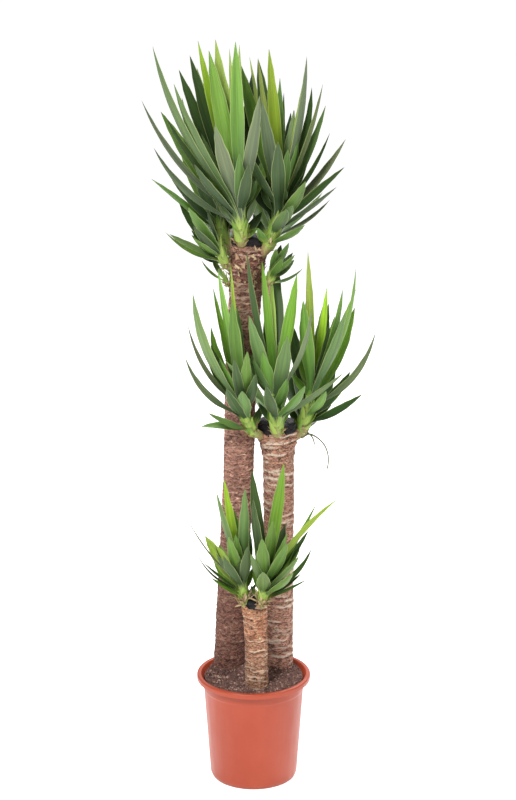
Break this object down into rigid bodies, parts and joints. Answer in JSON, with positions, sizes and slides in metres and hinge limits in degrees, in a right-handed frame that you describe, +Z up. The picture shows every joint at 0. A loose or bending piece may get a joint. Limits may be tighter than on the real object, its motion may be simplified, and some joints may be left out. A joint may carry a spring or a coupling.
{
  "type": "potted yucca",
  "caption": "Upright indoor yucca: rooted canes of stepped heights with wax-capped tops and tufts of sword-shaped leaves, in a round tapered nursery pot filled with soil.",
  "frame": {"origin": "centre of the pot's flat base, on the ground", "axes": "+Z up along the pot's axis; the side seen in the picture faces -Y, +X to the right of the picture"},
  "size_m": [0.4668, 0.4869, 1.5524],
  "materials": {
    "pot": "satin terracotta-coloured plastic",
    "soil": "loose dark peat soil, matte",
    "bark": "rough bark with pale leaf scars",
    "wax": "black sealing wax, dull sheen",
    "leaf": "waxy green leaf, satin"
  },
  "bodies": {
    "root": {"pot": "pot", "soil": "soil", "cane_tall": "bark", "cane_medium": "bark", "cane_short": "bark", "wax_tall": "wax", "wax_medium": "wax", "wax_short": "wax", "tall_front": "leaf", "tall_right": "leaf", "tall_left": "leaf", "tall_lower_left": "leaf", "tall_lower_right": "leaf", "tall_bud": "leaf", "medium_left": "leaf", "medium_front": "leaf", "medium_right": "leaf", "short_left": "leaf", "short_right": "leaf"}
  },
  "joints": []
}
